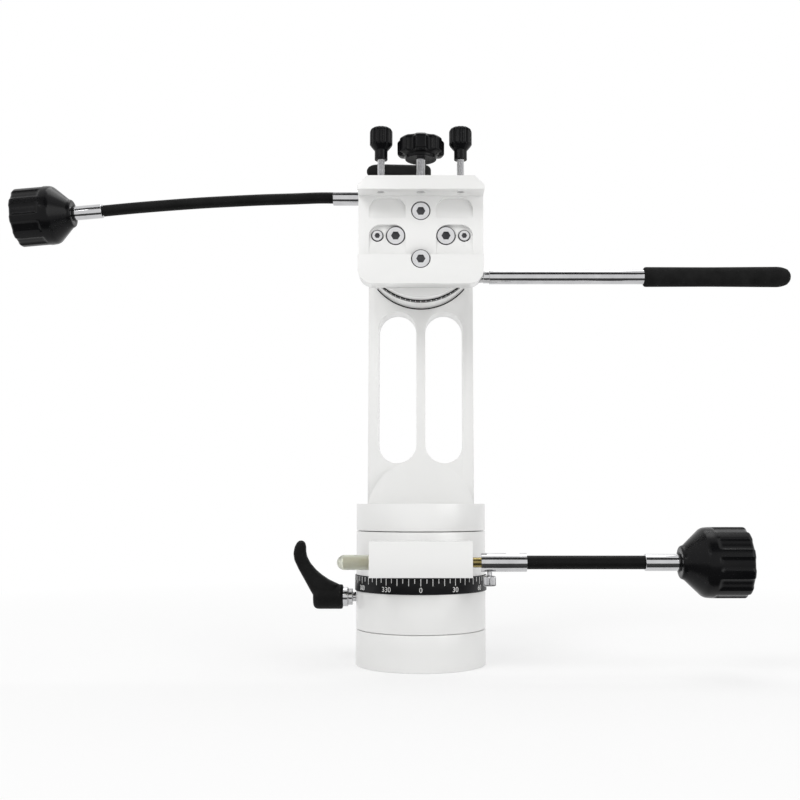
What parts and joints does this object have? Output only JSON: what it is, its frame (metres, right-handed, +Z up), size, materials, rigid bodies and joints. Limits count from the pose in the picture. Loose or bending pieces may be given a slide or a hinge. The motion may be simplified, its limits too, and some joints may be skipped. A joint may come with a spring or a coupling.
{
  "type": "telescope mount head",
  "caption": "Alt-azimuth telescope mount head with worm slow motions, flexible shaft knobs, clamp levers, slotted arm and dovetail saddle.",
  "frame": {"origin": "centre of the tripod thread at the base's underside, on the azimuth axis", "axes": "+Z up along the azimuth axis, -Y the side that the saddle faces, X along the dovetail"},
  "size_m": [0.5444, 0.1769, 0.3689],
  "materials": {
    "white_paint": "satin white paint on aluminium",
    "black_anodised": "satin black anodising",
    "black_plastic": "satin black plastic",
    "black_rubber": "matt black rubber",
    "chrome": "bright plated steel",
    "steel": "turned steel",
    "brass": "machined brass",
    "clear_plastic": "translucent soft plastic",
    "washer_plastic": "low-friction plastic",
    "clutch_lining": "pressed friction lining"
  },
  "bodies": {
    "base": {"lower_ring": "white_paint", "middle_ring": "white_paint", "degree_ring": "black_anodised", "azimuth_spindle": "steel", "azimuth_wheel": "brass", "azimuth_clamp_pad": "brass", "base_screws": "steel", "spindle_nut": "steel", "lower_thrust_washer": "washer_plastic"},
    "azimuth_lever": {"azimuth_lever": "black_plastic", "azimuth_lever_stud": "chrome"},
    "head": {"azimuth_housing": "white_paint", "upper_thrust_washer": "washer_plastic", "azimuth_worm_bushes": "brass", "azimuth_worm_cap": "clear_plastic", "foot_plate": "white_paint", "foot_screws": "steel", "spindle_cap": "black_plastic", "arm": "white_paint", "arm_screws": "steel", "altitude_housing": "white_paint", "housing_screws": "steel", "altitude_bush": "brass", "altitude_worm_bushes": "brass", "altitude_clamp_pad": "brass", "altitude_thrust_washer": "washer_plastic", "altitude_rear_cap": "black_plastic", "altitude_cable": "black_rubber"},
    "azimuth_worm": {"azimuth_worm": "brass", "azimuth_sleeve": "chrome", "azimuth_cable": "black_rubber", "azimuth_ferrule": "chrome", "azimuth_knob": "black_plastic", "sleeve_thumbscrew": "chrome"},
    "altitude_worm": {"altitude_worm": "brass", "altitude_sleeve": "chrome"},
    "altitude_knob": {"altitude_ferrule": "chrome", "altitude_knob": "black_plastic"},
    "altitude_lever": {"altitude_lever": "black_plastic", "altitude_lever_stud": "chrome"},
    "saddle": {"saddle": "white_paint", "saddle_lip": "white_paint", "saddle_jaw": "white_paint", "altitude_hub": "white_paint", "altitude_ring": "black_anodised", "altitude_shaft": "steel", "altitude_wheel": "brass", "clutch_disc": "clutch_lining", "saddle_screws": "steel", "saddle_small_screws": "steel", "shaft_nut": "steel", "shaft_washer": "steel", "handle_rod": "chrome", "handle_grip": "black_rubber"},
    "left_screw": {"left_clamp_screw": "chrome"},
    "left_knob": {"left_clamp_knob": "black_plastic"},
    "middle_screw": {"middle_clamp_screw": "chrome"},
    "middle_knob": {"middle_clamp_knob": "black_plastic"},
    "right_screw": {"right_clamp_screw": "chrome"},
    "right_knob": {"right_clamp_knob": "black_plastic"}
  },
  "joints": [
    {"name": "azimuth_turn", "type": "hinge", "parent": "base", "child": "head", "pos_m": [0, 0, 0.07], "axis": [0, 0, 1], "range_deg": [-115, 190]},
    {"name": "azimuth_worm_spin", "type": "hinge", "parent": "head", "child": "azimuth_worm", "pos_m": [0, -0.043, 0.0654], "axis": [1, 0, 0], "continuous": true},
    {"name": "altitude_tilt", "type": "hinge", "parent": "head", "child": "saddle", "pos_m": [0, 0.0599, 0.2828], "axis": [0, -1, 0], "range_deg": [-65, 115]},
    {"name": "altitude_worm_spin", "type": "hinge", "parent": "head", "child": "altitude_worm", "pos_m": [0, 0.0599, 0.3198], "axis": [1, 0, 0], "continuous": true},
    {"name": "altitude_knob_spin", "type": "hinge", "parent": "head", "child": "altitude_knob", "pos_m": [-0.2285, 0.0599, 0.3102], "axis": [0.9962, 0, 0.0872], "continuous": true},
    {"name": "azimuth_clamp", "type": "hinge", "parent": "base", "child": "azimuth_lever", "pos_m": [-0.041, 0, 0.0415], "axis": [1, 0, 0], "range_deg": [-20, 100]},
    {"name": "altitude_clamp", "type": "hinge", "parent": "head", "child": "altitude_lever", "pos_m": [0, 0.087, 0.3253], "axis": [0, 0, 1], "range_deg": [-60, 60]},
    {"name": "left_screw_travel", "type": "slide", "parent": "saddle", "child": "left_screw", "axis": [0, 0, 1], "range_m": [-0.008, 0.003]},
    {"name": "left_knob_turn", "type": "hinge", "parent": "left_screw", "child": "left_knob", "pos_m": [-0.027, 0.016, 0.335], "axis": [0, 0, 1], "continuous": true},
    {"name": "middle_screw_travel", "type": "slide", "parent": "saddle", "child": "middle_screw", "axis": [0, 0, 1], "range_m": [-0.008, 0.003]},
    {"name": "middle_knob_turn", "type": "hinge", "parent": "middle_screw", "child": "middle_knob", "pos_m": [0, 0.016, 0.335], "axis": [0, 0, 1], "continuous": true},
    {"name": "right_screw_travel", "type": "slide", "parent": "saddle", "child": "right_screw", "axis": [0, 0, 1], "range_m": [-0.008, 0.003]},
    {"name": "right_knob_turn", "type": "hinge", "parent": "right_screw", "child": "right_knob", "pos_m": [0.027, 0.016, 0.335], "axis": [0, 0, 1], "continuous": true}
  ],
  "couplings": [
    {"joint": "azimuth_worm_spin", "follows": "azimuth_turn", "ratio": 100},
    {"joint": "altitude_worm_spin", "follows": "altitude_tilt", "ratio": 84},
    {"joint": "altitude_knob_spin", "follows": "altitude_tilt", "ratio": 84},
    {"joint": "left_knob_turn", "follows": "left_screw_travel", "rad_per_m": 7854},
    {"joint": "middle_knob_turn", "follows": "middle_screw_travel", "rad_per_m": 6283.2},
    {"joint": "right_knob_turn", "follows": "right_screw_travel", "rad_per_m": 7854}
  ]
}
